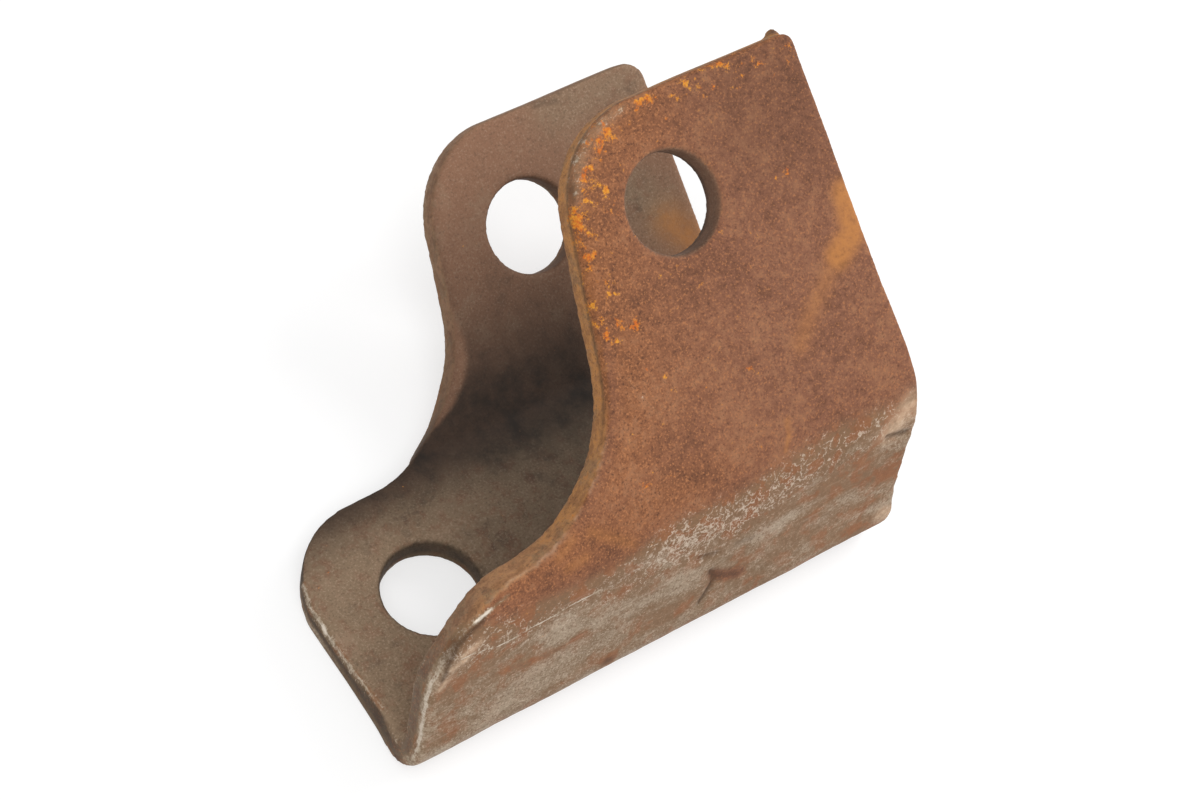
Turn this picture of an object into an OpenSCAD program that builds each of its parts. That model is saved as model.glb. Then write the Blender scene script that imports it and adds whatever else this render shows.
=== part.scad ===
// Shock absorber bracket: one steel sheet, cut to an outline and folded three times.
// The sheet runs from the short ear down to the foot, turns back in a tight fold into the web,
// and leans over a soft fold into the tall ear, which stands parallel to the short one.
// X runs to the front along the folds, the foot lies on Z = 0, and the fixing hole is the origin.

/* [Sheet] */
// Thickness of the steel sheet
sheet_t = 4; // [3:0.25:5]
// Clear gap between the two ears
ear_gap = 36; // [32:0.5:44]

/* [Folds] */
// Turn of the fold between the short ear and the foot, in degrees
short_turn = 35; // [28:1:40]
// Turn of the soft fold between the web and the tall ear, in degrees
tall_turn = 45; // [38:1:52]
// Inside radius of the fold between the short ear and the foot
short_fold_r = 3; // [2:0.25:4]
// Inside radius of the tight fold between the foot and the web
tight_fold_r = 1.5; // [1:0.25:3]
// Inside radius of the soft fold between the web and the tall ear
tall_fold_r = 12.3; // [8:0.1:14]

/* [Ears] */
// Diameter of the pivot bore through both ears
pivot_d = 13; // [8:0.5:16]
// Height of the pivot axis up the short ear, from the inside corner of its fold
pivot_rise = 22.7; // [20:0.1:28]
// Radius of the rounded front of both ears
nose_r = 14.1; // [12:0.1:15]
// Height of the tall ear's top edge above the pivot axis
tall_top = 14; // [11:0.1:14.05]
// Height of the short ear's top edge above the pivot axis
short_top = 15.4; // [12:0.1:15.45]
// How far the centre of the short ear's rounded front lies above the pivot axis
short_nose_lift = 1.4; // [0.8:0.1:2]
// Distance from the pivot axis back to the straight back edge
back_reach = 24.6; // [18:0.1:30]
// Lean of the ears' front edges, in degrees
front_lean = 10; // [6:1:14]
// Radius of the tall ear's top back corner
tall_corner_r = 1.8; // [0.5:0.1:4]
// Radius of the short ear's top back corner
short_corner_r = 3.2; // [0.5:0.1:5]
// Width of the burr left on the tall ear's top edge
burr_w = 2.2; // [1:0.1:3]
// Height of the burr
burr_h = 1.1; // [0.4:0.1:1.5]

/* [Foot and web] */
// Length of the foot between the inside corners of its two folds
foot_len = 34.1; // [30:0.1:40]
// Diameter of the fixing hole in the foot
fixing_d = 13.5; // [8:0.5:16]
// Distance of the fixing hole from the inside corner of the short ear's fold
fixing_in = 17; // [14:0.1:20]
// How far the fixing hole lies ahead of the pivot axis
fixing_ahead = 36.6; // [34:0.1:44]
// Distance from the fixing hole to the straight front edge
front_reach = 15.3; // [14:0.1:20]
// Distance of the foot's side edge from the inside corner of the short ear's fold
foot_side = 1.2; // [0.4:0.1:3]
// Radius of the foot's front corner
foot_corner_r = 12; // [6:0.5:13]
// Length of web, along the sheet, from the tight fold's inside corner to the web's side edge
web_side = 24.2; // [22:0.1:27]
// Radius of the web's front corner
web_corner_r = 14; // [9:0.5:16]
// How far the web's front edge falls back from the foot's, up to its front corner
web_setback = 0.8; // [0.4:0.1:2]
// How far the back edge is drawn in at the tight fold
fold_draw = 1.5; // [0.2:0.1:3]
// How far from the tight fold's corner the drawn-in edge starts
fold_draw_reach = 22; // [10:1:26]

/* [Hidden] */
$fn = 96;

// Overlap of a cutter past the faces that it cuts
past = 1;
// Steps along each fold and degrees for each step along a cut edge
fold_steps = 15;
arc_step = 3;
// How far a cut edge is set in, so that it crosses its neighbour at a clear angle
bite = 0.03;
// Degrees by which the sweep runs on past the straight edge that it leaves
run_on = 6;
// Slope given to the foot's side edge over its short straight stretch
side_draft = 0.1;
// How far ahead of the straight front edge the foot's cut starts, so that the edge stays whole
start_ahead = 0.2;
// Distance of the burr from the back edge
burr_inset = 0.1;
// The burr's thickness and how deep it starts below the ear's inner face, as shares of the sheet
burr_share = 0.36;
burr_sink = 0.4;
// Places of the burr's tip and shoulder, as shares of its width and height
burr_tip = [0.6, 1];
burr_shoulder = [0.35, 0.9];

short_head = -short_turn;
web_head = 180 - short_turn - tall_turn;
ear_head = 180 - short_turn;
web_len = (ear_gap - foot_len * sin(short_turn)) / sin(tall_turn);
front_x = fixing_ahead + front_reach;

short_corner = [0, sheet_t];
tight_corner = [foot_len, sheet_t];
tall_corner = tight_corner + web_len * heading(web_head);

// A fold: the inner face's last flat point before it, the heading there, the turn and the radius
short_fold = fold_at(short_corner, short_head, short_turn, short_fold_r);
tight_fold = fold_at(tight_corner, 0, web_head, tight_fold_r);
tall_fold = fold_at(tall_corner, web_head, tall_turn, tall_fold_r);

// The pivot axis on the inner face of each ear
short_pivot = short_corner + pivot_rise * heading(ear_head);
tall_pivot = short_pivot + ear_gap * leftward(short_head);
tall_rise = (tall_pivot - tall_corner) * heading(ear_head);

// Lengths along the inner face, from each fold's first tangent line
short_pivot_v = fold_inset(short_fold) - pivot_rise;
tall_pivot_v = fold_length(tall_fold) - fold_inset(tall_fold) + tall_rise;
foot_side_v = fold_length(short_fold) - fold_inset(short_fold) + foot_side;
web_side_v = web_side - web_len + fold_inset(tall_fold);

// The side edges' heights below the pivot axis, as if each ear went on flat
short_side_y = short_pivot_v - foot_side_v;
tall_side_y = web_side_v - tall_pivot_v;
tall_lead = front_x - web_setback - web_corner_r;
short_sweep_r = sweep_radius(fixing_ahead, short_side_y - short_nose_lift);
tall_sweep_r = sweep_radius(tall_lead, tall_side_y);

function heading(a) = [cos(a), sin(a)];
function leftward(a) = [-sin(a), cos(a)];
function radians(a) = a * PI / 180;
function reversed(list) = [for (i = [len(list) - 1 : -1 : 0]) list[i]];

function fold_at(corner, head, turn, r) = [corner - r * tan(turn / 2) * heading(head), head, turn, r];
function fold_length(fold) = fold[3] * radians(fold[2]);
function fold_inset(fold) = fold[3] * tan(fold[2] / 2);

// Where a point of the flat sheet ends up: v along the inner face, n out of it to the inside
function folded(fold, v, n) =
    let (turned = min(max(v / radians(fold[3]), 0), fold[2]), head = fold[1] + turned)
    fold[0] + fold[3] * leftward(fold[1]) - (fold[3] - n) * leftward(head)
    + (v - fold[3] * radians(turned)) * heading(head);

function fold_rim(fold, n) =
    [for (i = [0 : fold_steps]) folded(fold, i / fold_steps * fold_length(fold), n)];

function face_line(n) = concat(
    [folded(short_fold, short_pivot_v - short_top, n)],
    fold_rim(short_fold, n), fold_rim(tight_fold, n), fold_rim(tall_fold, n),
    [folded(tall_fold, tall_pivot_v + tall_top, n)]);

// The sweep touches the leaning front edge and ends along the side edge, at lead from the pivot
function sweep_radius(lead, side_y) =
    (lead * cos(front_lean) + side_y * sin(front_lean) - nose_r) / (1 - sin(front_lean));

function sweep(lead, r) =
    [for (a = [0 : arc_step : 90 - front_lean + run_on]) [lead - bite - r * sin(a), r * (1 - cos(a))]];

function corner_arc(start, lead, r) =
    concat([start], [for (a = [2 * arc_step : arc_step : 90]) [lead + r * cos(a), r * (sin(a) - 1)]]);

// Front edges of the flat sheet, as places [x, v] in the order of v
foot_start = [front_x + start_ahead, -foot_corner_r - past];
foot_corner = corner_arc(foot_start, front_x - foot_corner_r, foot_corner_r);
foot_edge = concat(
    [for (p = reversed(sweep(fixing_ahead, short_sweep_r))) [p[0], foot_side_v - p[1] - side_draft]],
    [for (p = reversed(foot_corner)) [p[0], foot_side_v - p[1]]]);
web_start = [front_x + web_setback, web_corner_r - 2 * web_side];
web_corner = corner_arc(web_start, tall_lead, web_corner_r);
web_edge = concat(
    [for (p = web_corner) [p[0], web_side_v + p[1]]],
    [for (p = sweep(tall_lead, tall_sweep_r)) [p[0], web_side_v + p[1] + side_draft]]);

// The waste ahead of a cut front edge, folded along with the sheet
module folded_waste(fold, edge) {
    far_x = front_x + 2 * past;
    rows = [for (e = edge) let (a = folded(fold, e[1], past), b = folded(fold, e[1], -sheet_t - past))
        [[e[0], a[0], a[1]], [e[0], b[0], b[1]], [far_x, b[0], b[1]], [far_x, a[0], a[1]]]];
    last = 4 * (len(edge) - 1);
    walls = [for (i = [0 : 4 : last - 4]) for (k = [0 : 3])
        let (a = i + k, b = i + (k + 1) % 4)
        for (face = [[a, b + 4, a + 4], [a, b, b + 4]]) face];
    polyhedron(points = [for (row = rows) for (p = row) p],
               faces = concat([[3, 2, 1, 0]], walls, [[last, last + 1, last + 2, last + 3]]));
}

// Places shapes on an ear: X ahead of the pivot axis, Y up the ear, Z towards the short ear's back
module on_ear(pivot) {
    translate([0, pivot[0], pivot[1]]) rotate([ear_head, 0, 0]) children();
}

// The waste around an ear's rounded front, leaning front edge and top back corner
module ear_waste(nose_y, side_y, lead, r, top_y, corner_r) {
    lean = heading(front_lean);
    neck = [lead, side_y + r] - r * lean;
    cheek = [0, nose_y] + (nose_r - bite) * lean;
    linear_extrude(2 * (sheet_t + past), center = true) {
        difference() {
            translate([0, neck[1]]) square([front_x + past, top_y + past - neck[1]]);
            translate([0, nose_y]) circle(nose_r);
            polygon([[-past, neck[1] - past], [neck[0], neck[1] - past], neck, cheek, [-past, cheek[1]]]);
        }
        translate([corner_r - back_reach, top_y - corner_r]) difference() {
            translate([-corner_r - past, 0]) square(corner_r + past);
            circle(corner_r + bite);
        }
    }
}

module sheet_section() {
    polygon(concat(face_line(0), reversed(face_line(-sheet_t))));
}

// The shallow hollow at the back, where folding drew the sheet's edge in
module drawn_edge() {
    translate([-back_reach, tight_corner[0], tight_corner[1]]) rotate([0, 90, 0]) {
        translate([0, 0, -past]) cylinder(r = fold_draw_reach, h = past);
        cylinder(r1 = fold_draw_reach, r2 = 0, h = fold_draw);
    }
}

// A lip of metal left where the shear ran out, at the inner corner of the tall ear's top edge
module burr() {
    peaks = [for (p = [burr_tip, burr_shoulder]) [p[0] * burr_w, p[1] * burr_h]];
    on_ear(tall_pivot) translate([-back_reach + burr_inset, tall_top, -burr_sink * sheet_t])
        linear_extrude(burr_share * sheet_t)
            polygon(concat([[0, -burr_h], [burr_w, -burr_h], [burr_w, 0]], peaks, [[0, 0]]));
}

module bracket() {
    color("sienna") translate([-fixing_ahead, -fixing_in, 0]) {
        difference() {
            translate([-back_reach, 0, 0]) rotate([90, 0, 90])
                linear_extrude(back_reach + front_x) sheet_section();
            on_ear(short_pivot)
                ear_waste(short_nose_lift, short_side_y, fixing_ahead, short_sweep_r, short_top, short_corner_r);
            on_ear(tall_pivot) ear_waste(0, tall_side_y, tall_lead, tall_sweep_r, tall_top, tall_corner_r);
            folded_waste(short_fold, foot_edge);
            folded_waste(tall_fold, web_edge);
            drawn_edge();
            on_ear(tall_pivot) translate([0, 0, -sheet_t - past])
                cylinder(d = pivot_d, h = ear_gap + 2 * (sheet_t + past));
            translate([fixing_ahead, fixing_in, -past]) cylinder(d = fixing_d, h = sheet_t + 2 * past);
        }
        burr();
    }
}

bracket();
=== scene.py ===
"""A rusted shock absorber bracket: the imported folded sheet, remeshed fine, worn and rusted."""

import math
from functools import partial

import bmesh
import bpy
import numpy as np
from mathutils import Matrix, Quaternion, Vector, kdtree, noise
from mathutils.bvhtree import BVHTree


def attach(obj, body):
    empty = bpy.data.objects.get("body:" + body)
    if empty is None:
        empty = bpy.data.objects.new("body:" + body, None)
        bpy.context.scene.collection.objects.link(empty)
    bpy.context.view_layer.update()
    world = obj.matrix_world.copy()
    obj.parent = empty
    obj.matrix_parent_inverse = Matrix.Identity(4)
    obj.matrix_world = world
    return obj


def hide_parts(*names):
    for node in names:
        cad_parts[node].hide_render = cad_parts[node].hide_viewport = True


bl_info = {
    "name": "Rusted shock absorber bracket",
    "version": (1, 0, 0),
    "blender": (4, 5, 0),
    "location": "3D View > Sidebar > Bracket",
    "description": "Dresses the packed bracket as worn and rusted sheet steel",
    "category": "Object",
}

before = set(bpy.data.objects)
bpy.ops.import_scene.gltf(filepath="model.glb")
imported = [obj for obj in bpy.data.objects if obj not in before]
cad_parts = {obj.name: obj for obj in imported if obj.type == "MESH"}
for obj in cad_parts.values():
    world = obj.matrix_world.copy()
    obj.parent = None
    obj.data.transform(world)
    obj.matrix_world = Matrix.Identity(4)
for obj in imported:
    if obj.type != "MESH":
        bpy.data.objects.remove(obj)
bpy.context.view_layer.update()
MM = 0.001

# The sheet's inner face in section, as (Y, Z) corners in millimetres with the fold radius at each.
SECTION = (
    ((-48.2, 25.85), 0.0),
    ((-17.0, 4.0), 3.0),
    ((17.1, 4.0), 1.5),
    ((13.06, 26.90), 12.3),
    ((-26.4, 54.5), 0.0),
)
SHEET = 4.0
RIDGE = 0.7
SHARP = math.radians(40)
EVEN_ROUNDS = 4
BACK_X = -61.2
PIVOT_X, PIVOT_YZ, PIVOT_AXIS = -36.6, (-25.27, 31.765), (0.573576, 0.819152)
PIVOT_R, FIXING_R = 6.5, 6.75

# Marks on the sheet, as (X, run) points in millimetres. Run follows the unfolded sheet from the
# short ear's top edge over the foot and the web to the tall ear's top edge.
SCUFF_TOP = ((-61, 100.0), (-58, 100.0), (-48, 100.6), (-39, 99.0), (-32, 97.8), (-21, 98.2),
             (-15, 97.0), (-7, 97.0), (3, 97.8), (15, 99.0))
SCUFF_SHARE = ((-61, 0.55), (-52, 0.5), (-40, 0.75), (-22, 0.95), (-14, 0.5), (-4, 0.35), (6, 0.55))
BACK_SCUFF = ((-56.5, 95.5), (-60.0, 98.0))
BACK_TIP = ((-58.0, 78.5), (-60.8, 77.0))
HOOK_GOUGE = ((-28.7, 85.4), (-29.5, 83.1), (-29.0, 81.8), (-27.7, 79.5))
RED_PATCH = ((-29.4, 84.4), (-31.1, 83.1), (-33.5, 82.0))
CREASE = ((-26.4, 89.6), (-27.7, 89.2), (-29.2, 88.8))
CREASE_TWO = ((-32.1, 89.0), (-34.9, 88.2))
BACK_CREASE = ((-56.2, 94.8), (-59.8, 94.0))
WEB_SHARE = ((-61, 0.45), (-45, 0.45), (-30, 0.6), (-15, 0.75), (15, 0.75))
FRONT_BROWN = ((12.6, 80.0), (12.2, 86.0), (9.0, 92.0), (3.5, 96.0))
DARK_SPOT = ((-13.0, 77.6), (-13.6, 77.4))
RUB_LINE = ((10.5, 94.2), (8.0, 93.9), (4.5, 92.9), (-3.0, 93.3), (-11.1, 93.8))
WEB_STREAK = ((2.9, 86.9), (-2.5, 85.7), (-5.0, 85.6), (-9.0, 86.6))
# Painted highlights on the web's front edge, over its worn rim: a long glint and its core.
PAINTED_GLINT, PAINTED_GLINT_CORE = ((9.2, 97.5), (6.3, 98.75), (2.8, 99.6)), ((7.6, 98.3), (5.6, 98.95))
# A painted shadow line under the raised burr along the web's front edge.
BURR_SHADOW = ((6.4, 98.2), (8.4, 97.5), (10.3, 96.2), (11.6, 94.2), (12.6, 91.5))
OCHRE_MARKS = (((-10.1, 102.0), (-12.7, 100.3), (-15.6, 98.1)), ((-6.0, 99.2), (-8.6, 99.4)),
               ((-5.1, 101.0), (-7.4, 102.2)))
FOOT_LINE = ((14.2, 47.5), (15.2, 51.0), (15.3, 56.0), (15.2, 62.0), (14.9, 68.0))
STRIP_SHARE = ((75, 0.5), (78, 0.66), (91, 0.66), (94, 0.6), (96.5, 0.48), (98, 0.2), (99, 0.0))
FOOT_SPOT = ((15.2, 53.8), (15.3, 55.0))
NOSE_GOUGE = ((-23.8, 139.4), (-24.5, 141.2))
# Painted highlights, as short glints along the tall ear's nose rim.
NOSE_PAINTED_GLINTS = (((-33.8, 147.4), (-34.6, 147.6)), ((-30.6, 146.8), (-31.4, 147.0)),
               ((-28.0, 145.5), (-28.3, 145.7)), ((-26.1, 143.7), (-26.5, 144.1)),
               ((-24.2, 140.0), (-24.5, 140.4)))
FRONT_PALE = (((9.8, 94.2), (7.3, 95.4)), ((11.3, 92.9), (9.4, 93.5)), ((12.8, 90.1), (12.0, 91.2)))
NOSE_RIM = ((-24.2, 142.0), (-27.0, 146.0), (-32.0, 148.6))
STAIN = ((-60.2, 126.5), (-59.4, 121.5), (-56.0, 119.5))
STAIN_TAIL = ((-56.0, 119.5), (-49.8, 114.7), (-46.4, 111.4))
RUST_ARC = ((-40.9, 103.6), (-40.6, 101.8), (-39.7, 100.3))
HAIR_SCRATCH = ((-21.7, 117.1), (-25.2, 109.4))

# Where the tight fold's bulge and back lip sit along the run, and how far they and the drift of
# the cut edge reach.
FOLD_RUN, FOLD_REACH = 73.5, 3.2
LIP_RUN, LIP_REACH = 77.0, 1.8
EDGE_REACH = 2.5

# How far the front cut edge stands out in millimetres, by run, at its inner and outer rims, and
# how far the back edge does.
FRONT_INNER = ((28, 0.0), (31, 0.2), (33.5, 0.35), (36, 0.35), (38, 0.3), (40, 0.25), (43, 0.1),
               (46, 0.0), (95, 0.0), (98, 0.4), (101, 0.8), (104, 1.0), (107, 1.0), (110, 0.8),
               (114, 0.65), (120, 0.45), (130, 0.35), (142, 0.25), (148, 0.0))
FRONT_OUTER = ((28, 0.0), (31, 0.2), (33, 0.1), (35, -0.3), (37, -0.65), (39.5, -0.65), (42, -0.3),
               (45, 0.0), (52, 0.4), (60, 0.45), (70, 0.5), (74, 0.6), (77, 0.3), (80, 0.0),
               (98, 0.0), (102, 0.25), (106, 0.45), (112, 0.4), (118, 0.2), (124, 0.0))
BACK_OUT = ((79, 0.0), (84, -0.3), (90, -0.2), (95, 0.1), (101, 0.4), (108, 0.3), (114, 0.0))

FLECKS = (
    ((-23.3, 138.4), (-23.5, 135.4)), ((-31.8, 146.0), (-30.2, 145.2)),
    ((-22.6, 130.8), (-22.1, 129.8)), ((-21.9, 127.6), (-21.6, 126.6)),
    ((-21.1, 124.0), (-21.1, 122.8)), ((-26.0, 122.6), (-26.4, 121.8)),
    ((-44.4, 147.2), (-45.8, 147.2)), ((-49.0, 147.5), (-50.2, 147.5)),
    ((-53.0, 147.0), (-53.6, 147.0)), ((-52.3, 132.6), (-52.8, 132.6)),
    ((-27.4, 143.2), (-26.4, 141.4)), ((-36.5, 147.2), (-39.0, 147.2)),
    ((-23.4, 133.0), (-24.4, 132.4)), ((-27.8, 138.4), (-28.2, 136.2)))
# Paler, greyer patches on the short ear's inner face: painted light where the open back lets light
# in.
FAR_CORNER, FAR_LIT_PATCH = ((-58.0, 2.0), (-46.0, 2.0)), ((-50.0, 13.0), (-55.0, 20.0))
# How far from the short ear's front rim the painted shade is thinned, by run, where the front light
# reaches.
FAR_RIM = ((19, 0.0), (24, 0.8), (28, 1.75), (30.5, 1.75), (32, 1.5), (33.7, 1.0), (35.5, 0.0))
BROWN_BLUR = ((-56.6, 22.4), (-59.0, 26.2))

# How much painted shade darkens the inner faces: along the short ear by run, and over the foot by
# X.
EAR_SHADE = ((0, 0.0), (6, 0.08), (12, 0.28), (20, 0.48), (28, 0.77), (33, 0.97), (42, 1.0))
FOOT_SHADE = ((-61, 0.75), (-30, 0.7), (-18, 0.55), (-8, 0.3), (2, 0.0), (15, 0.0))

# Groups of marks as (line, width in millimetres, strength).
GOUGES = ((HOOK_GOUGE, 0.6, 1.0), (CREASE, 0.5, 1.0), (BACK_CREASE, 0.6, 1.0))
SCUFFS = ((BACK_SCUFF, 2.4, 0.5), (BACK_TIP, 1.6, 0.4), (CREASE, 1.3, 0.7))
FILMS = ((BACK_SCUFF, 1.7, 0.75), (BACK_TIP, 1.2, 0.75),
         *((line, 0.5, 0.75) for line in FRONT_PALE))
FOOT_RUBS = ((FOOT_LINE, 0.32, 0.64), (FOOT_SPOT, 0.3, 0.8))
# Rubs on the outer face, with the painted glints of the web's edge and the nose rim.
OUTER_RUBS_AND_GLINTS = ((RUB_LINE, 0.3, 0.75), *((line, 0.42, 0.62) for line in NOSE_PAINTED_GLINTS),
              (PAINTED_GLINT, 0.34, 0.6), (PAINTED_GLINT_CORE, 0.36, 0.9), (HAIR_SCRATCH, 0.3, 0.3))
RED_RUST = ((RED_PATCH, 1.5, 1.0), (DARK_SPOT, 1.4, 1.0))
FRESH_RUST = tuple((line, 1.5, 1.0) for line in FLECKS)
OCHRE_RUNS = ((RUST_ARC, 0.32, 0.55), *((line, 0.7, 0.32) for line in OCHRE_MARKS))
# Painted back light: paler patches on the short ear's inner face.
PAINTED_BACK_LIGHT = ((FAR_CORNER, 4.0, 0.7), (FAR_LIT_PATCH, 4.5, 0.8))
# Dug marks, and the painted shadow line under the web's front burr.
DUG_MARKS_AND_SHADOW = ((BURR_SHADOW, 0.34, 0.8), (CREASE_TWO, 0.4, 0.35), (HOOK_GOUGE, 0.42, 0.85),
             (RED_PATCH, 0.6, 0.6), (CREASE, 0.42, 0.6), (BACK_CREASE, 0.36, 0.9),
             (NOSE_GOUGE, 0.4, 0.6), (DARK_SPOT, 0.7, 0.6))

# The steel's noise patterns: size in millimetres, detail, roughness and how much they are
# squeezed along the folds, so that they draw out in X.
PATTERNS = {
    "patches": (8.0, 3.0, 0.6, 1.0), "blots": (3.0, 4.0, 0.6, 1.0),
    "grains": (0.9, 5.0, 0.65, 1.0), "specks": (0.30, 2.0, 0.6, 1.0),
    "spots": (2.2, 6.0, 0.72, 1.0), "curls": (1.5, 2.5, 0.6, 1.0),
    "smears": (2.6, 4.0, 0.55, 0.55), "washes": (6.5, 4.0, 0.5, 0.55),
    "scratches": (0.8, 3.0, 0.6, 0.1),
}

# Sums of the patterns and masks that the finishes are drawn from, with the share of each.
BLENDS = {
    "tone": (("patches", 0.33), ("blots", 0.22), ("grains", 0.45)),
    "mottle": (("patches", 0.35), ("blots", 0.40), ("grains", 0.25)),
    "crust": (("ridges", 0.2), ("spots", 0.45), ("grains", 0.35)),
    "cover": (("washes", 0.45), ("smears", 0.20), ("grains", 0.23), ("specks", 0.12),
              ("bare", 0.30)),
    "brushing": (("smears", 0.35), ("washes", 0.35), ("grains", 0.30)),
    "thinning": (("bare", 1.0), ("scuff", 0.7)),
    "scrape": (("specks", 0.45), ("grains", 0.45), ("curl_lines", 0.14), ("scuff", 0.22)),
    "haze": (("grains", 1.0), ("blots", 0.5)),
    "rubbing": (("grains", 0.4), ("specks", 0.3), ("worn", 0.8)),
    "bloom": (("spots", 0.60), ("grains", 0.30), ("specks", 0.10), ("fleck", 0.14)),
    "freshness": (("blots", 0.6), ("specks", 0.4)),
    "height": (("grains", 0.7), ("specks", 0.5)),
}

# Nodes as their kind, the output that is read and their fixed settings.
PLACE = ("ShaderNodeTexCoord", "Object", {})
MASK = ("ShaderNodeAttribute", "Fac", {})
SQUEEZE = ("ShaderNodeMapping", "Vector", {})
NOISE = ("ShaderNodeTexNoise", "Fac", {})
LAYERS = ("ShaderNodeTexNoise", "Fac", {"noise_dimensions": "1D"})
RAMP = ("ShaderNodeValToRGB", "Color", {})
MIX = ("ShaderNodeMix", 2, {"data_type": "RGBA"})
RANGE = ("ShaderNodeMapRange", "Result", {"interpolation_type": "SMOOTHSTEP"})
LEVEL = ("ShaderNodeMapRange", "Result", {})
TIMES = ("ShaderNodeMath", 0, {"operation": "MULTIPLY"})
WEIGH = ("ShaderNodeMath", 0, {"operation": "MULTIPLY_ADD"})
LESS = ("ShaderNodeMath", 0, {"operation": "SUBTRACT"})
SIZE = ("ShaderNodeMath", 0, {"operation": "ABSOLUTE"})
LARGER = ("ShaderNodeMath", 0, {"operation": "MAXIMUM"})
BUMP = ("ShaderNodeBump", "Normal", {})
RAY = ("ShaderNodeLightPath", "Is Camera Ray", {})

# The floor as the camera sees it: a darker paper lifted to white, so that the shadow still shows.
WHITE = (1.0, 1.0, 1.0, 1.0)
SEEN_PAPER, PAPER_LIFT = (0.42, 0.42, 0.42, 1.0), 0.62
FLOOR_HALF, SENSOR, NEAREST = 4.0, 36.0, 0.01

# The lamps: name, place from the camera's aim and width in metres, and the property of its power.
LAMPS = (("softbox", (0.20, 0.30, 0.45), 0.5, "key"),
         ("back_fill", (-0.42, 0.0, 0.24), 0.3, "fill"))


def linear(code):
    """The linear colour of an sRGB hex code, opaque."""
    parts = [int(code[i:i + 2], 16) / 255 for i in (1, 3, 5)]
    return (*(p / 12.92 if p <= 0.04045 else ((p + 0.055) / 1.055) ** 2.4 for p in parts), 1.0)


def per_mm(size):
    """A pattern's scale in Object coordinates for features of that size in millimetres."""
    return 1 / (size * MM)


def ease(value, low, high):
    """0 below low, 1 above high, and smooth between."""
    t = np.clip((value - low) / (high - low), 0, 1)
    return t * t * (3 - 2 * t)


def within(value, rise, full, fade, end):
    """1 from full to fade, 0 outside rise and end, and smooth between."""
    return ease(value, rise, full) * (1 - ease(value, fade, end))


def bell(value, width):
    """1 at zero, falling off smoothly over that width to either side."""
    return np.exp(-(value / width) ** 2)


def reading(value, stops):
    """The value's reading off a table of (place, amount) stops."""
    return np.interp(value, *np.array(stops).T)


def colour(name, description, code):
    """A colour property whose default is an sRGB hex code."""
    return bpy.props.FloatVectorProperty(
        name=name, description=description, subtype="COLOR", size=4, min=0, max=1,
        default=linear(code))


def length(name, description, default):
    """A length property in metres, given in millimetres."""
    return bpy.props.FloatProperty(
        name=name, description=description, default=default * MM, min=0, unit="LENGTH",
        precision=5)


class BracketShape(bpy.types.PropertyGroup):
    """Sizes of the sheet's fine shape"""

    grain: length("Mesh grain", "Side of the quads that carry the fine shape", 0.475)
    waviness: length("Waviness", "How far the faces wander over a centimetre", 0.10)
    pitting: length("Pitting", "How deep the rust has eaten the faces", 0.035)
    shear: length("Shear ridges", "Height of the ridges along the cut edges", 0.04)
    gouge: length("Gouge depth", "Depth of the dug marks on the web", 0.35)
    bulge: length("Fold bulge", "How far the tight fold's end swells forwards", 0.7)
    lip: length("Back lip", "How far the tight fold's other end stands out at the back", 0.9)
    rounding: length("Edge rounding", "Radius of the worn edges", 0.5)


class BracketFinish(bpy.types.PropertyGroup):
    """Colours of the rust and the bare steel, and of the painted shade and glints"""

    rust_dark: colour("Dark rust", "Deep brown between the rust grains", "#462b1f")
    rust_deep: colour("Deep rust", "Brown of the lower patches", "#5e3b29")
    rust: colour("Rust", "Dry brown rust on the ears", "#7d523d")
    rust_pale: colour("Pale rust", "Dusty tops of the rust grains", "#986a4b")
    rust_bright: colour("Bright rust", "Orange grains in the rust", "#a66e47")
    rust_warm: colour("Warm rust", "Orange-brown rust by the front edge and the fold", "#8b5733")
    fleck: colour("Fresh fleck", "Orange fresh rust", "#c2621d")
    fleck_pale: colour("Yellow fleck", "Yellow fresh rust", "#d6922c")
    ochre: colour("Ochre", "Yellow-brown run of rust", "#b1753e")
    steel_dark: colour("Dull steel", "Brown-grey steel in the smears", "#78674f")
    web_brown: colour("Web brown", "Thin brown rust between the rubbed steel", "#7d664b")
    steel: colour("Rubbed steel", "Grey-tan steel on the web", "#8f7d66")
    steel_pale: colour("Clean steel", "Pale grey-tan steel on the web", "#ab9a84")
    # Painted highlight: the near-white glints on the worn, polished rims.
    painted_glint: colour("Glint", "Bright polished steel on the worn rims", "#dfd3c4")
    scuff: colour("Scuff", "Pale scraped steel on the fold", "#c3b19f")
    scale_dark: colour("Dark scale", "Darker mottles of the scale", "#574639")
    scale: colour("Scale", "Red-brown scale on the short ear's inner face", "#8c6750")
    scale_pale: colour("Pale scale", "Dusty mottles of the scale", "#967d66")
    scale_foot: colour("Foot scale", "Grey-brown scale on the foot", "#8a745d")
    dust: colour("Dust", "Pale specks of dust and of the rust's tops", "#b9a28b")
    rub: colour("Rubbed rust", "Pale tan film where the rust is rubbed thin", "#c6a88c")
    # Painted shade: the near-black that darkens the inside of the bracket, the hole walls and the
    # deeper cut edges.
    soot: colour("Soot", "Near-black film deep inside the bracket", "#1e1813")
    cut: colour("Cut edge", "Brown of the cut edges", "#8f6e54")
    cut_warm: colour("Rusted cut edge", "Ochre-brown of the tall ear's cut edge", "#ad7a47")
    cut_dull: colour("Dull cut edge", "Grey-brown of the web's cut edge", "#6e5d4d")
    # Also the colour of the painted shadow line under the web's front burr.
    dug: colour("Dug mark", "Dark floor of the gouges", "#46301f")


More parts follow.
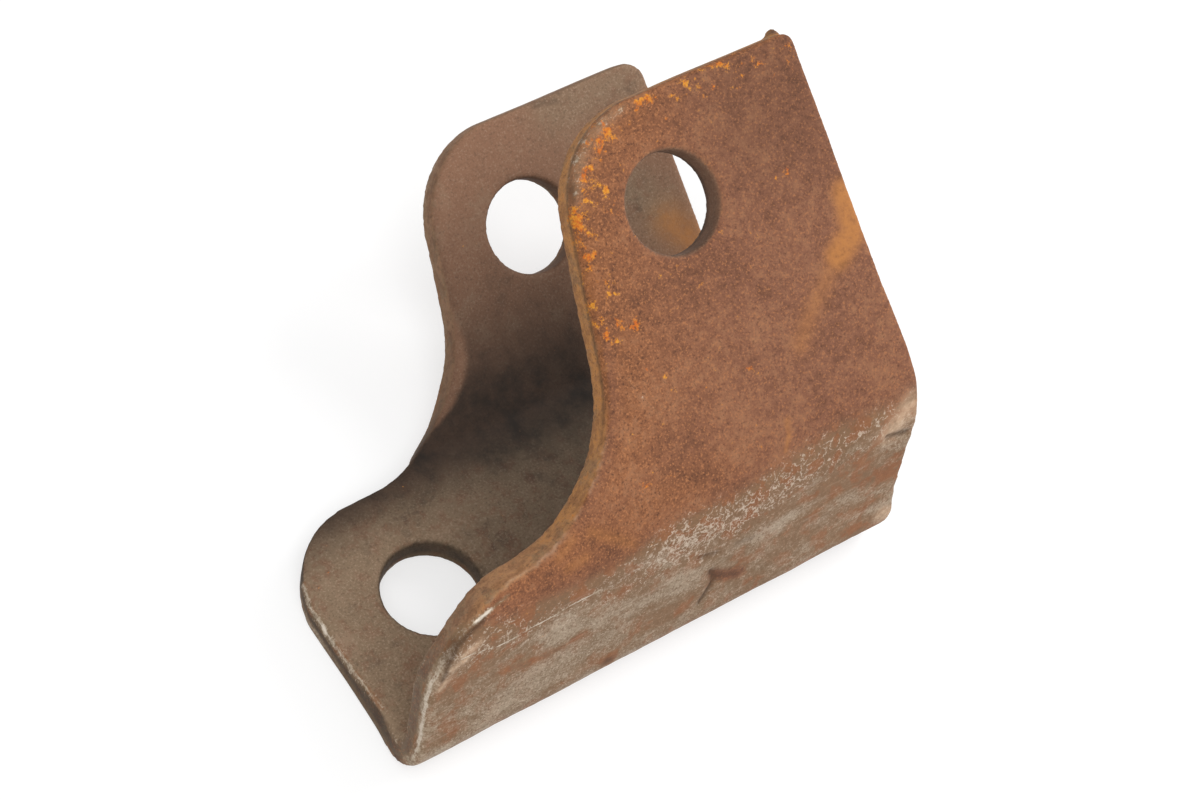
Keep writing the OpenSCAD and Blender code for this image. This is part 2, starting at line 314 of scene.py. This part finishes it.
class BracketStage(bpy.types.PropertyGroup):
    """Floor, light and camera"""

    floor: colour("Floor", "Pale floor", "#f2f2f2")
    ambient: bpy.props.FloatProperty(
        name="Ambient", description="Strength of the light from all round", default=0.62, min=0)
    key: bpy.props.FloatProperty(
        name="Key lamp", description="Power of the large soft lamp", default=1.6, min=0,
        unit="POWER")
    fill: bpy.props.FloatProperty(
        name="Back fill", description="Power of the soft lamp at the open back", default=1.4,
        min=0, unit="POWER")
    place: bpy.props.FloatVectorProperty(
        name="Camera place", description="Where the camera stands", subtype="TRANSLATION",
        unit="LENGTH", size=3, default=(0.139365, 0.140117, 0.338810))
    aim: bpy.props.FloatVectorProperty(
        name="Camera aim", description="Point at the middle of the picture",
        subtype="TRANSLATION", unit="LENGTH", size=3, default=(-0.019551, 0.000566, 0.035213))
    roll: bpy.props.FloatProperty(
        name="Camera roll", description="Turn of the camera about its line of sight",
        subtype="ANGLE", default=math.radians(17.5588))
    lens: bpy.props.FloatProperty(
        name="Lens", description="Focal length in millimetres on a 36 mm sensor", default=90.0,
        min=1)


def unfold(yz):
    """Run along the unfolded sheet, depth below its inner face and outward normal of each point."""
    points = np.array([p for p, _ in SECTION])
    ways = np.diff(points, axis=0)
    spans = np.linalg.norm(ways, axis=1)
    ways = ways / spans[:, None]
    turns = np.arccos(np.clip((ways[:-1] * ways[1:]).sum(1), -1, 1))
    cuts = [0.0] + [SECTION[i + 1][1] * math.tan(t / 2) for i, t in enumerate(turns)] + [0.0]
    best = np.full(len(yz), np.inf)
    run, depth, normal = np.zeros(len(yz)), np.zeros(len(yz)), np.zeros((len(yz), 2))

    def keep(miss, new_run, new_depth, new_normal):
        score = miss + np.maximum(np.abs(new_depth - SHEET / 2) - SHEET / 2, 0)
        better = score < best
        best[better] = score[better]
        run[better], depth[better] = new_run[better], new_depth[better]
        normal[better] = np.broadcast_to(new_normal, normal.shape)[better]

    start = 0.0
    for i, way in enumerate(ways):
        flat = spans[i] - cuts[i] - cuts[i + 1]
        rel = yz - (points[i] + way * cuts[i])
        along, outward = rel @ way, np.array([way[1], -way[0]])
        held = np.clip(along, -np.inf if i == 0 else 0, np.inf if i == len(ways) - 1 else flat)
        keep(np.abs(along - held), start + held, rel @ outward, outward)
        start += flat
        if i < len(turns):
            radius = SECTION[i + 1][1]
            rel = yz - (points[i + 1] - way * cuts[i + 1] - outward * radius)
            reach = np.maximum(np.linalg.norm(rel, axis=1), 1e-9)
            angle = np.arctan2(outward[0] * rel[:, 1] - outward[1] * rel[:, 0], rel @ outward)
            held = np.clip(angle, 0, turns[i])
            keep(np.abs(angle - held) * reach, start + held * (radius + SHEET / 2),
                 reach - radius, rel / reach[:, None])
            start += turns[i] * (radius + SHEET / 2)
    return run, depth, normal


def near(line, x, run, width):
    """1 on a line of (X, run) points, falling off smoothly over that width beside it."""
    spot = np.column_stack([x, run])
    gap = np.full(len(x), np.inf)
    for a, b in zip(np.array(line[:-1]), np.array(line[1:])):
        t = np.clip((spot - a) @ (b - a) / ((b - a) @ (b - a)), 0, 1)
        gap = np.minimum(gap, np.linalg.norm(spot - a - t[:, None] * (b - a), axis=1))
    return bell(gap, width)


def marks(s, group):
    """The strongest of a group of marks at each vertex of the surface."""
    return np.maximum.reduce([strength * near(line, s.x, s.run, width)
                              for line, width, strength in group])


def cloud(points, size, seed):
    """Smooth noise from -1 to 1 with features of that size, at points in millimetres."""
    shift = Vector((seed * 17.3, seed * -9.1, seed * 5.7))
    return np.array([noise.noise(Vector(p) / size + shift) for p in points.tolist()])


class Surface:
    """Where each vertex of the sheet lies: along it, through it, and from its edges."""

    def __init__(self, mesh):
        count = len(mesh.vertices)
        flat, facing = np.zeros(count * 3, np.float32), np.zeros(count * 3, np.float32)
        mesh.vertices.foreach_get("co", flat)
        mesh.vertex_normals.foreach_get("vector", facing)
        self.points = flat.reshape(-1, 3).astype(float) / MM
        self.facing = facing.reshape(-1, 3).astype(float)
        self.x = self.points[:, 0]
        self.run, self.depth, normal = unfold(self.points[:, 1:])
        across = np.abs((self.facing[:, 1:] * normal).sum(1))
        self.outer = ease(self.depth, 1.8, 2.8)
        self.ear = self.outer * ease(self.run, 100.0, 106.0)
        self.inner = 1 - ease(self.depth, 1.2, 2.2)
        rel = self.points[:, 1:] - np.array(PIVOT_YZ)
        up = rel @ np.array([-PIVOT_AXIS[1], PIVOT_AXIS[0]])
        pivot_gap = np.hypot(self.x - PIVOT_X, up) - PIVOT_R
        fixing_gap = np.hypot(self.x, self.points[:, 1]) - FIXING_R
        on_foot = self.points[:, 2] < SHEET + 0.5
        self.wall = 1 - ease(np.where(on_foot, fixing_gap, pivot_gap), 0.1, 0.4)
        self.cut = (1 - ease(across, 0.35, 0.75)) * (1 - self.wall)
        self.edge = (1 - ease(across, 0.70, 0.97)) * (1 - self.wall)
        sheet_way = np.column_stack([np.zeros(count), normal])
        level = self.facing - sheet_way * (self.facing * sheet_way).sum(1)[:, None]
        level /= np.maximum(np.linalg.norm(level, axis=1), 1e-6)[:, None]
        self.front_gap, nearest = self.nearest((self.cut > 0.6) & (self.x > BACK_X + 1.5))
        self.front_way = level[nearest]

    def nearest(self, chosen):
        """Each vertex's distance from the nearest chosen one, and that one's number."""
        places = np.flatnonzero(chosen)
        tree = kdtree.KDTree(len(places))
        for i in places:
            tree.insert(self.points[i], int(i))
        tree.balance()
        found = [tree.find(p) for p in self.points]
        return np.array([f[2] for f in found]), np.array([f[1] for f in found])


def fine_copy(node, grain):
    """An object with the CAD node's solid merged and remeshed into even quads."""
    mesh = bpy.data.meshes.new("folded_sheet")
    shape = bmesh.new()
    shape.from_mesh(node.data)
    bmesh.ops.remove_doubles(shape, verts=shape.verts, dist=1e-6)
    shape.to_mesh(mesh)
    shape.free()
    piece = bpy.data.objects.new("folded_sheet", mesh)
    bpy.context.scene.collection.objects.link(piece)
    remesh = piece.modifiers.new("even_quads", "REMESH")
    remesh.mode, remesh.voxel_size = "VOXEL", grain
    built = piece.evaluated_get(bpy.context.evaluated_depsgraph_get())
    fine = bpy.data.meshes.new_from_object(built)
    piece.modifiers.clear()
    piece.data = fine
    bpy.data.meshes.remove(mesh)
    fine.name = "folded_sheet"
    return piece


def settle(mesh, node, grain, radius):
    """Puts the remeshed vertices back on the CAD faces, rounded over at the sharp edges."""
    shape = bmesh.new()
    shape.from_mesh(node.data)
    bmesh.ops.remove_doubles(shape, verts=shape.verts, dist=1e-6)
    faces = BVHTree.FromBMesh(shape)
    marks = []
    for edge in shape.edges:
        if edge.calc_face_angle(0.0) > SHARP:
            a, b = (v.co.copy() for v in edge.verts)
            lean = edge.link_faces[0].normal + edge.link_faces[1].normal
            steps = max(1, math.ceil((b - a).length / (0.2 * grain)))
            marks += [(a.lerp(b, i / steps), lean) for i in range(steps + 1)]
    shape.free()
    edges = kdtree.KDTree(len(marks))
    for i, (mark, _) in enumerate(marks):
        edges.insert(mark, i)
    edges.balance()
    for vertex in mesh.vertices:
        mark, i, gap = edges.find(vertex.co)
        if gap < 0.5 * grain:
            vertex.co = mark - marks[i][1] * radius * (1 - math.cos(math.pi / 4))
            continue
        spot, normal, _, _ = faces.find_nearest(vertex.co)
        away = spot - mark
        if away.length < radius:
            turn = math.pi / 4 * (1 - away.length / radius)
            spot = mark + away.normalized() * radius * (1 - math.sin(turn))
            spot -= normal * radius * (1 - math.cos(turn))
        vertex.co = spot


def even_out(mesh, rounds):
    """Evens out the small steps that the remesh leaves."""
    shape = bmesh.new()
    shape.from_mesh(mesh)
    for _ in range(rounds):
        bmesh.ops.smooth_vert(shape, verts=shape.verts, factor=0.5, use_axis_x=True,
                              use_axis_y=True, use_axis_z=True)
    shape.to_mesh(mesh)
    shape.free()


def wear_shape(mesh, sizes):
    """Moves the vertices for waviness, pits, sheared edges and dug marks."""
    s = Surface(mesh)
    move = sizes.waviness / MM * cloud(s.points, 9.0, 1) * (1 - s.wall)
    pits = cloud(s.points, 1.6, 2) + 0.7 * cloud(s.points, 0.9, 3)
    move += sizes.pitting / MM * pits * (1 - 0.7 * np.maximum(s.cut, s.wall))
    layers = np.column_stack([s.x * 0.10, s.run * 0.10, s.depth * 1.5])
    move += sizes.shear / MM * s.cut * cloud(layers, 1.0, 4)
    move -= sizes.gouge / MM * s.outer * np.sum(
        [near(line, s.x, s.run, width) for line, width, _ in GOUGES], axis=0)
    s.points += s.facing * move[:, None]
    share = s.depth / SHEET
    bulge = s.cut * ease(s.x, 8.0, 13.0) * bell(s.run - FOLD_RUN, FOLD_REACH)
    s.points[:, 0] += sizes.bulge / MM * bulge * (1 - 0.5 * share)
    shift = reading(s.run, FRONT_INNER) * (1 - share) + reading(s.run, FRONT_OUTER) * share
    s.points += (shift * bell(s.front_gap, EDGE_REACH))[:, None] * s.front_way
    s.points[:, 0] -= ease(-s.x, -BACK_X - 4.0, -BACK_X) * reading(s.run, BACK_OUT)
    lip = ease(-s.x, -BACK_X - 2.5, -BACK_X) * bell(s.run - LIP_RUN, LIP_REACH)
    s.points[:, 0] -= sizes.lip / MM * lip
    mesh.vertices.foreach_set("co", (s.points * MM).astype(np.float32).ravel())
    mesh.update()


def rubbed_masks(s, top):
    """Where the outer face is rubbed bare, scuffed below the fold's top line, worn and filmed, with
    painted glints on the worn rims.
    """
    x, run = s.x, s.run
    on_web = ease(run, 73.0, 77.0) * (1 - ease(run, top - 5.0, top + 1.0))
    halo = near(NOSE_RIM, x, run, 3.5) * bell(s.front_gap - 0.7, 1.1)
    band = bell(run - top + 3.8, 3.8) * reading(x, SCUFF_SHARE)
    band = np.maximum.reduce([band, marks(s, SCUFFS), 0.42 * halo])
    broken = ease(cloud(s.points, 1.5, 7), -0.35, 0.25)
    lip = bell(s.front_gap - 0.3, 0.2) * broken * within(run, 97.0, 100.0, 108.0, 118.0)
    film = np.maximum.reduce([0.2 * halo, 0.34 * lip, marks(s, FILMS)])
    near_front = ease(x, -2.0, 3.0)
    strip = s.cut + (s.edge - s.cut) * ease(run, 95.0, 97.0)
    strip = strip * near_front * ease(run, 75.0, 77.0) * ease(s.depth, 2.4, 2.9)
    inner_rim = 0.35 * s.edge * (1 - ease(s.depth, 0.5, 1.0)) * near_front
    # The worn marks carry the painted glints too.
    worn = np.maximum.reduce([
        strip * reading(run, STRIP_SHARE), inner_rim * within(run, 66.0, 74.0, 98.0, 104.0),
        s.inner * marks(s, FOOT_RUBS), s.outer * marks(s, OUTER_RUBS_AND_GLINTS)])
    bare = reading(x, WEB_SHARE) * on_web * (1 - 0.5 * band) + 0.3 * (run < 73)
    bare = bare - 0.5 * marks(s, RED_RUST) - 0.2 * near(FRONT_BROWN, x, run, 2.4)
    bare = bare - 0.5 * near(WEB_STREAK, x, run, 0.7)
    return {"bare": s.outer * bare, "scuff": np.maximum(s.outer * band, worn), "worn": worn,
            "film": s.outer * film}


def rust_masks(s, top):
    """Where the fresh flecks, the ochre runs and the warmer rust lie."""
    x, run = s.x, s.run
    rim = bell(s.front_gap - 1.6, 3.4) * ease(run, 112.0, 124.0)
    rim = 0.7 * rim * (1 - 0.3 * ease(-x, 34.0, 44.0))
    rim = np.maximum.reduce([rim, 0.3 * np.exp(-s.front_gap / 6), marks(s, FRESH_RUST)])
    stain = np.maximum(0.9 * ease(near(STAIN, x, run, 2.1), 0.08, 0.95),
                       0.32 * near(STAIN_TAIL, x, run, 1.3))
    blur = 0.75 * s.inner * near(BROWN_BLUR, x, run, 2.6)
    warm = s.ear * np.exp(-s.front_gap / 9.0) * (1 - 0.75 * ease(-x, 34.0, 46.0))
    warm = warm * (1 - 0.8 * bell(s.front_gap, 1.9) * (1 - ease(run, 118.0, 128.0)))
    fold = 0.6 * s.outer * bell(run - top - 4.0, 4.5) * (1 - ease(-x, 20.0, 44.0))
    return {"fleck": s.ear * np.maximum(rim, 0.06 + 0.2 * ease(x, -48.0, -34.0)),
            "ochre": np.maximum(blur, s.outer * np.maximum(stain, marks(s, OCHRE_RUNS))),
            "warm": np.maximum.reduce([warm, fold, s.edge * ease(run, 98.0, 106.0)])}


def inside_masks(s, cut):
    """Where the scale, its dust and painted back light, and the painted shade lie, inside the
    bracket and on its cut edges.
    """
    x, run = s.x, s.run
    # Painted shade: darker down the short ear and less towards its open back; over the foot darker
    # away from the front and by the fold.
    ear_shade = reading(run, EAR_SHADE) * (0.2 + 0.8 * ease(x, -53.0, -34.0))
    foot_shade = reading(x, FOOT_SHADE)
    by_fold = (1 - ease(run, 40.0, 50.0)) * (1 - 0.3 * ease(x, -24.0, -12.0))
    foot_shade = foot_shade + (1 - foot_shade) * by_fold
    soot = ear_shade + (foot_shade - ear_shade) * ease(run, 38.0, 45.0)
    # The painted shade is thinned along the short ear's front rim, where the front light reaches.
    far_rim = reading(run, FAR_RIM)
    on_rim = (1 - ease(s.front_gap - far_rim, -0.5, 0.5)) * ease(far_rim, 0.1, 0.5)
    soot = s.inner * soot * (1 - 0.52 * on_rim)
    # The tall ear's outer face is also darkened towards its top back corner.
    soot = soot + 0.2 * s.ear * ease(run, 122.0, 140.0) * ease(-x, 36.0, 52.0)
    # Painted shade on the hole walls, and on the cut edges, darkest down by the short ear's fold.
    wall_shade = s.wall * np.where(run > 100, 0.5, np.where(run > 39, 0.75, 0.6))
    cut_shade = 0.12 + 0.2 * ease(run, 18.0, 28.0) + 0.5 * ease(run, 33.0, 36.5)
    cut_shade = cut_shade * (1 - 0.3 * ease(run, 44.0, 50.0) - 0.7 * ease(run, 70.0, 76.0))
    cut_shade = cut_shade * ease(run, 1.0, 5.0)
    # dull: the foot's grey scale, and the short ear's paler patches painted as back light.
    return {"dull": np.maximum(within(run, 38.0, 45.0, 90.0, 100.0),
                               s.inner * marks(s, PAINTED_BACK_LIGHT)),
            "scale": np.maximum(s.inner, s.wall),
            "soot": np.maximum(soot, wall_shade) * (1 - cut) + cut * cut_shade}


def edge_masks(s, cut):
    """Where the cut edges and the dug marks lie, and how deep in the sheet each vertex is."""
    lap = s.outer * (1 - ease(s.front_gap, 0.3, 0.8)) * ease(s.x, -6.0, 2.0)
    lap = lap * within(s.run, 92.0, 96.0, 101.0, 110.0)
    groove = 0.6 * s.cut * bell(s.depth - 2.9, 0.3) * ease(s.run, 108.0, 116.0)
    rounded = ease(s.depth, 2.9, 3.3) * ease(s.run, 110.0, 118.0)
    return {"cut": np.maximum(cut * (1 - rounded), lap), "through": s.depth / SHEET,
            "dug": s.outer * np.maximum(groove, marks(s, DUG_MARKS_AND_SHADOW))}


def wear_masks(mesh):
    """Writes where each kind of rust and wear lies as attributes, and gives their names."""
    s = Surface(mesh)
    top = reading(s.x, SCUFF_TOP)
    foot_edge = s.edge * within(s.run, 42.0, 46.0, 70.0, 74.0) * ease(s.depth, 0.3, 1.0)
    cut = np.maximum(s.cut, foot_edge)
    masks = {**rubbed_masks(s, top), **rust_masks(s, top), **inside_masks(s, cut),
             **edge_masks(s, cut)}
    for name, values in masks.items():
        layer = mesh.attributes.new(name, "FLOAT", "POINT")
        layer.data.foreach_set("value", np.clip(values, 0, 1).astype(np.float32))
    return list(masks)


def add(tree, kind, inputs=(), stops=(), **settings):
    """A node of that kind, its inputs set or linked and a ramp's stops; gives the output to read.

    The inputs stand in the node's own order or by their keys.
    """
    name, output, fixed = kind
    node = tree.nodes.new(name)
    for key, value in {**fixed, **settings}.items():
        setattr(node, key, value)
    for key, value in inputs.items() if isinstance(inputs, dict) else enumerate(inputs):
        if isinstance(value, bpy.types.NodeSocket):
            tree.links.new(value, node.inputs[key])
        else:
            node.inputs[key].default_value = value
    if stops:
        ramp = node.color_ramp.elements
        while len(ramp) < len(stops):
            ramp.new(1.0)
        for element, (place, shade) in zip(ramp, stops):
            element.position, element.color = place, shade
    return node.outputs[output]


def rusted_steel(c, masks):
    """Mild steel sheet, sheared, folded and left to rust.

    Dry brown rust has no shine and a fine orange and brown grain. Where it is rubbed the grey
    steel shows in streaks along the folds. Inside the bracket a dark even scale is left, darkened
    further by painted shade, and bright glints are painted on the worn rims.
    """
    material = bpy.data.materials.new("Rusted mild steel")
    material.use_nodes = True
    tree = material.node_tree
    node = partial(add, tree)
    shader = tree.nodes["Principled BSDF"]
    place = node(PLACE)
    p = {name: node(MASK, attribute_name=name) for name in masks}
    for name, (size, detail, rough, squeeze) in PATTERNS.items():
        spot = node(SQUEEZE, {"Vector": place, "Scale": (squeeze, 1.0, 1.0)})
        p[name] = node(NOISE, {"Vector": spot, "Scale": per_mm(size), "Detail": detail,
                               "Roughness": rough})
    layers = node(WEIGH, (p["blots"], 2.0, node(TIMES, (p["through"], SHEET))))
    p["ridges"] = node(LAYERS, {"W": layers, "Scale": 1 / RIDGE, "Detail": 3.0})
    off_middle = node(SIZE, (node(LESS, (p["curls"], 0.5)),))
    p["curl_lines"] = node(RANGE, (off_middle, 0.05, 0.0, 0.0, 1.0))
    for name, parts in BLENDS.items():
        p[name] = 0.0
        for part, weight in parts:
            p[name] = node(WEIGH, (p[part], weight, p[name]))

    # Dry rust, more orange by the front edge and the fold.
    cool = node(RAMP, (p["tone"],), ((0.34, c.rust_deep), (0.50, c.rust), (0.66, c.rust_pale)))
    warm = node(RAMP, (p["tone"],),
                ((0.34, c.rust_deep), (0.50, c.rust_warm), (0.66, c.rust_pale)))
    speckled = node(RANGE, (p["warm"], 0.0, 0.7, 0.7, 1.0))
    pale = node(TIMES, (node(RANGE, (p["specks"], 0.53, 0.70, 0.0, 1.0)), speckled))
    dark = node(TIMES, (node(RANGE, (p["specks"], 0.45, 0.28, 0.0, 0.75)), speckled))

    # Scale inside the bracket, mottled and dusty on the foot.
    mottled = node(RANGE, (p["dull"], 0.0, 1.0, 0.45, 1.0))
    scale = node(MIX, {0: p["dull"], 6: c.scale, 7: c.scale_foot})
    for share, strength, shade in (
            (node(RANGE, (p["mottle"], 0.50, 0.35, 0.0, 0.75)), mottled, c.scale_dark),
            (node(RANGE, (p["mottle"], 0.52, 0.63, 0.0, 0.8)), mottled, c.scale_pale),
            (node(RANGE, (p["spots"], 0.47, 0.66, 0.0, 0.5)), p["dull"], c.rust),
            (dark, 0.9, c.scale_dark),
            (node(RANGE, (p["dull"], 0.0, 1.0, 0.35, 0.5)), pale, c.dust)):
        scale = node(MIX, {0: node(TIMES, (share, strength)), 6: scale, 7: shade})

    # Cut edges, ochre on the tall ear and grey-brown from the foot to the web.
    cut = node(MIX, {0: p["warm"], 6: c.cut, 7: c.cut_warm})
    for share, strength, shade in (
            (p["dull"], 1.0, c.cut_dull),
            (node(RANGE, (p["blots"], 0.46, 0.62, 0.0, 0.5)), 1.0, c.steel_dark),
            (node(RANGE, (p["crust"], 0.55, 0.42, 0.0, 0.5)), 1.0, c.rust_deep),
            (node(RANGE, (p["crust"], 0.51, 0.59, 0.0, 0.8)), p["warm"], c.ochre),
            (pale, 0.8, c.rust_pale), (dark, 0.7, c.rust_dark)):
        cut = node(MIX, {0: node(TIMES, (share, strength)), 6: cut, 7: shade})

    # Rubbed steel with thin brown rust on the web, and polished marks with painted glints.
    clean = node(RANGE, (p["bare"], 0.05, 0.35, 0.0, 1.0))
    bare = node(TIMES, (node(RANGE, (p["cover"], 0.56, 0.78, 0.0, 0.8)), clean))
    steel = node(RAMP, (p["brushing"],),
                 ((0.38, c.steel_dark), (0.50, c.steel), (0.64, c.steel_pale)))
    grit = node(RANGE, (p["specks"], 0.46, 0.30, 0.0, 0.7))
    steel = node(MIX, {0: grit, 6: steel, 7: c.rust_deep})
    steel = node(MIX, {0: pale, 6: steel, 7: c.scuff})
    brown = node(MIX, {0: node(RANGE, (p["blots"], 0.49, 0.60, 0.0, 0.75)), 6: c.web_brown,
                       7: c.rust_warm})
    worn = node(RANGE, (p["rubbing"], 0.70, 0.95, 0.0, 1.0))
    polish_and_glint = node(MIX, {0: node(RANGE, (p["worn"], 0.50, 0.85, 0.0, 1.0)), 6: c.steel_pale,
                        7: c.painted_glint})
    fresh = node(RAMP, (p["freshness"],), ((0.42, c.fleck), (0.58, c.fleck_pale)))

    # Everything laid over the rust, from the lowest coat to the last mark.
    look = node(MIX, {0: p["warm"], 6: cool, 7: warm})
    for share, strength, shade in (
            (pale, 1.0, c.rust_bright), (dark, 1.0, c.rust_dark), (p["scale"], 1.0, scale),
            (p["cut"], 1.0, cut),
            # Painted shade, broken up a little by the blots.
            (node(RANGE, (p["blots"], 0.25, 0.65, 1.0, 0.9)), p["soot"], c.soot),
            (node(RANGE, (p["grains"], 0.30, 0.60, 0.6, 0.95)), p["ochre"], c.ochre),
            (node(RANGE, (p["thinning"], 0.05, 0.45, 0.0, 0.6)), 1.0, brown),
            (bare, 1.0, steel),
            (node(RANGE, (p["scratches"], 0.58, 0.70, 0.0, 0.15)), clean, c.scuff),
            (node(RANGE, (p["scrape"], 0.61, 0.79, 0.0, 0.8)),
             node(RANGE, (p["scuff"], 0.05, 0.35, 0.0, 1.0)), c.scuff),
            (node(RANGE, (p["haze"], 0.55, 0.85, 0.4, 1.0)), p["film"], c.rub),
            # Worn and polished steel, with the painted glints.
            (worn, 1.0, polish_and_glint),
            (node(RANGE, (p["bloom"], 0.625, 0.69, 0.0, 1.0)), 0.9, fresh),
            # Dug marks, and the painted shadow line under the web's front burr.
            (p["dug"], 1.0, c.dug)):
        look = node(MIX, {0: node(TIMES, (share, strength)), 6: look, 7: shade})

    shine = node(LARGER, (bare, worn))
    bump = node(BUMP, {"Height": p["height"], "Strength": 0.55, "Distance": 0.12 * MM})
    shader.inputs["Specular IOR Level"].default_value = 0.25
    for key, value in (("Base Color", look), ("Normal", bump),
                       ("Roughness", node(RANGE, (shine, 0.0, 1.0, 0.78, 0.46))),
                       ("Metallic", node(TIMES, (shine, 0.45)))):
        tree.links.new(value, shader.inputs[key])
    return material


def seen_directly(tree):
    """1 for what the camera, a reflection or a clear material sees, and 0 for what lights."""
    ray = add(tree, RAY).node.outputs
    seen = add(tree, LARGER, (ray["Is Camera Ray"], ray["Is Glossy Ray"]))
    return add(tree, LARGER, (seen, ray["Is Transmission Ray"]))


def backdrop(c):
    """Matt white paper, which the camera and reflections see a little brighter than it is lit."""
    material = bpy.data.materials.new("Matt white paper")
    material.use_nodes = True
    tree = material.node_tree
    shader = tree.nodes["Principled BSDF"]
    shader.inputs["Roughness"].default_value = 0.9
    shader.inputs["Specular IOR Level"].default_value = 0.0
    shader.inputs["Emission Color"].default_value = WHITE
    seen = seen_directly(tree)
    paper = add(tree, MIX, {0: seen, 6: c.floor, 7: SEEN_PAPER})
    tree.links.new(paper, shader.inputs["Base Color"])
    tree.links.new(add(tree, TIMES, (seen, PAPER_LIFT)), shader.inputs["Emission Strength"])
    return material


class BRACKET_OT_sheet(bpy.types.Operator):
    """Make the folded sheet, with its dulled edges, rust, scuffs and gouges"""

    bl_idname = "bracket.sheet"
    bl_label = "Folded sheet"

    def execute(self, context):
        sizes, finish = context.scene.bracket_shape, context.scene.bracket_finish
        piece = fine_copy(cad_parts["bracket"], sizes.grain)
        settle(piece.data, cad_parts["bracket"], sizes.grain, sizes.rounding)
        even_out(piece.data, EVEN_ROUNDS)
        wear_shape(piece.data, sizes)
        masks = wear_masks(piece.data)
        piece.data.shade_smooth()
        piece.data.materials.clear()
        piece.data.materials.append(rusted_steel(finish, masks))
        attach(piece, "root")
        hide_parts("bracket")
        return {"FINISHED"}


class BRACKET_OT_stage(bpy.types.Operator):
    """Make the floor, the soft light and the camera"""

    bl_idname = "bracket.stage"
    bl_label = "Stage"

    def execute(self, context):
        c = context.scene.bracket_stage
        mesh = bpy.data.meshes.new("paper_floor")
        shape = bmesh.new()
        bmesh.ops.create_grid(shape, x_segments=1, y_segments=1, size=FLOOR_HALF)
        shape.to_mesh(mesh)
        shape.free()
        mesh.materials.append(backdrop(c))
        floor = bpy.data.objects.new("paper_floor", mesh)
        context.scene.collection.objects.link(floor)

        world = context.scene.world or bpy.data.worlds.new("Light tent")
        context.scene.world = world
        world.use_nodes = True
        tree = world.node_tree
        power = add(tree, LEVEL, {"Value": seen_directly(tree), "To Min": c.ambient,
                                  "To Max": 1.0})
        sky = tree.nodes["Background"]
        sky.inputs["Color"].default_value = WHITE
        tree.links.new(power, sky.inputs["Strength"])

        middle = Vector(c.aim)
        for name, offset, size, power in LAMPS:
            lamp = bpy.data.lights.new(name, "AREA")
            lamp.shape, lamp.size, lamp.energy = "DISK", size, getattr(c, power)
            holder = bpy.data.objects.new(name, lamp)
            holder.location = middle + Vector(offset)
            holder.rotation_euler = (-Vector(offset)).to_track_quat("-Z", "Y").to_euler()
            context.scene.collection.objects.link(holder)

        camera = bpy.data.objects.new("camera", bpy.data.cameras.new("camera"))
        camera.data.lens = c.lens
        camera.data.sensor_width = SENSOR
        camera.data.clip_start = NEAREST
        sight = middle - Vector(c.place)
        level = sight.to_track_quat("-Z", "Y")
        camera.location = c.place
        camera.rotation_mode = "QUATERNION"
        camera.rotation_quaternion = level @ Quaternion((0.0, 0.0, 1.0), c.roll)
        context.scene.collection.objects.link(camera)
        context.scene.camera = camera
        context.scene.view_settings.view_transform = "Standard"
        return {"FINISHED"}


class BRACKET_PT_panel(bpy.types.Panel):
    """Sizes, colours and buttons of the bracket"""

    bl_idname = "BRACKET_PT_panel"
    bl_label = "Bracket"
    bl_space_type = "VIEW_3D"
    bl_region_type = "UI"
    bl_category = "Bracket"

    def draw(self, context):
        for group in ("bracket_shape", "bracket_finish", "bracket_stage"):
            box = self.layout.box()
            values = getattr(context.scene, group)
            for name in values.__annotations__:
                box.prop(values, name)
        self.layout.operator("bracket.sheet")
        self.layout.operator("bracket.stage")


CLASSES = (BracketShape, BracketFinish, BracketStage, BRACKET_OT_sheet, BRACKET_OT_stage,
           BRACKET_PT_panel)


def register():
    for cls in CLASSES:
        bpy.utils.register_class(cls)
    scene = bpy.types.Scene
    scene.bracket_shape = bpy.props.PointerProperty(type=BracketShape)
    scene.bracket_finish = bpy.props.PointerProperty(type=BracketFinish)
    scene.bracket_stage = bpy.props.PointerProperty(type=BracketStage)


def unregister():
    scene = bpy.types.Scene
    del scene.bracket_shape, scene.bracket_finish, scene.bracket_stage
    for cls in reversed(CLASSES):
        bpy.utils.unregister_class(cls)


def main():
    register()
    bpy.ops.bracket.sheet()
    bpy.ops.bracket.stage()


if __name__ == "__main__":
    main()
